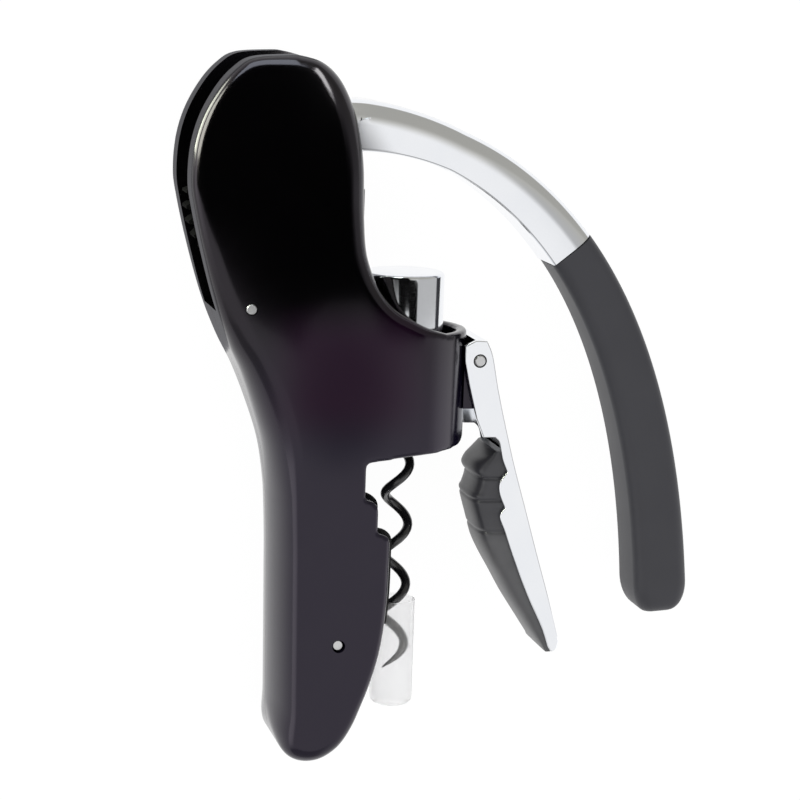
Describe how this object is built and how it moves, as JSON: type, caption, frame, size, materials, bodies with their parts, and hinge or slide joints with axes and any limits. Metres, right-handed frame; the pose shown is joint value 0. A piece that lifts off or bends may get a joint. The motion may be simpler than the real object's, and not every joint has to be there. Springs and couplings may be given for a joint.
{
  "type": "lever corkscrew",
  "caption": "Upright lever corkscrew with moulded body, arched hand lever, geared rack, worm with tip sleeve and a padded neck clamp.",
  "frame": {"origin": "centre of the bounding box in X and Y, on the flat side that it lies on", "axes": "+Y along the worm axis, from the worm's point to the head; +X from the body towards the hand lever; +Z across the thickness, up from the surface it lies on"},
  "size_m": [0.1474, 0.1948, 0.0355],
  "materials": {
    "body_black": "satin moulded black plastic",
    "rubber_black": "matt black rubber",
    "nut_brass": "turned brass",
    "pin_steel": "ground steel",
    "spring_steel": "drawn steel wire",
    "bush_nylon": "natural nylon",
    "lever_chrome": "polished chrome plate",
    "gear_steel": "machined steel",
    "grip_grey": "soft satin dark grey grip",
    "worm_coating": "black non-stick coated steel wire",
    "sleeve_clear": "milky clear plastic",
    "pad_rubber": "charcoal rubber with soft waves"
  },
  "bodies": {
    "housing": {"left_housing_shell": "body_black", "right_housing_shell": "body_black", "neck_liner": "rubber_black", "nut_carrier": "body_black", "worm_nut": "nut_brass", "lip_seat_ring": "rubber_black", "upper_cross_pin": "pin_steel", "lower_cross_pin": "pin_steel", "lever_axle": "pin_steel", "left_axle_bush": "bush_nylon", "right_axle_bush": "bush_nylon", "hinge_bracket": "body_black", "clamp_hinge_pin": "pin_steel", "clamp_spring": "spring_steel", "bracket_screw_1": "pin_steel", "bracket_screw_2": "pin_steel"},
    "lever": {"lever_arm": "lever_chrome", "sector_gear": "gear_steel", "gear_rivet_1": "pin_steel", "gear_rivet_2": "pin_steel", "gear_rivet_3": "pin_steel", "lever_grip": "grip_grey"},
    "carriage": {"cap_tube": "lever_chrome", "slide_block": "body_black", "rack_bar": "gear_steel", "rack_pin_1": "pin_steel", "rack_pin_2": "pin_steel", "thrust_washer": "bush_nylon", "retaining_ring": "spring_steel"},
    "worm": {"worm": "worm_coating"},
    "sleeve": {"tip_sleeve": "sleeve_clear"},
    "clamp": {"clamp_lever": "lever_chrome", "clamp_pad": "pad_rubber"}
  },
  "joints": [
    {"name": "lever_swing", "type": "hinge", "parent": "housing", "child": "lever", "pos_m": [-0.05113, 0.05818, 0.01775], "axis": [0, 0, 1], "range_deg": [0, 180]},
    {"name": "carriage_slide", "type": "slide", "parent": "housing", "child": "carriage", "axis": [0, 1, 0], "range_m": [0, 0.06481]},
    {"name": "worm_spin", "type": "hinge", "parent": "carriage", "child": "worm", "pos_m": [-0.01153, 0.00218, 0.01775], "axis": [0, 1, 0], "range_deg": [0, 1348.44]},
    {"name": "sleeve_pull", "type": "slide", "parent": "worm", "child": "sleeve", "axis": [0, -1, 0], "range_m": [0, 0.03]},
    {"name": "clamp_squeeze", "type": "hinge", "parent": "housing", "child": "clamp", "pos_m": [0.00797, 0.01488, 0.01775], "axis": [0, 0, 1], "range_deg": [-14, 0], "stiffness_Nm_per_rad": 0.2, "springref_deg": 11.46, "deforming": ["clamp_spring"]}
  ],
  "couplings": [
    {"joint": "carriage_slide", "follows": "lever_swing", "m_per_rad": 0.020625},
    {"joint": "worm_spin", "follows": "lever_swing", "ratio": 7.4908}
  ]
}
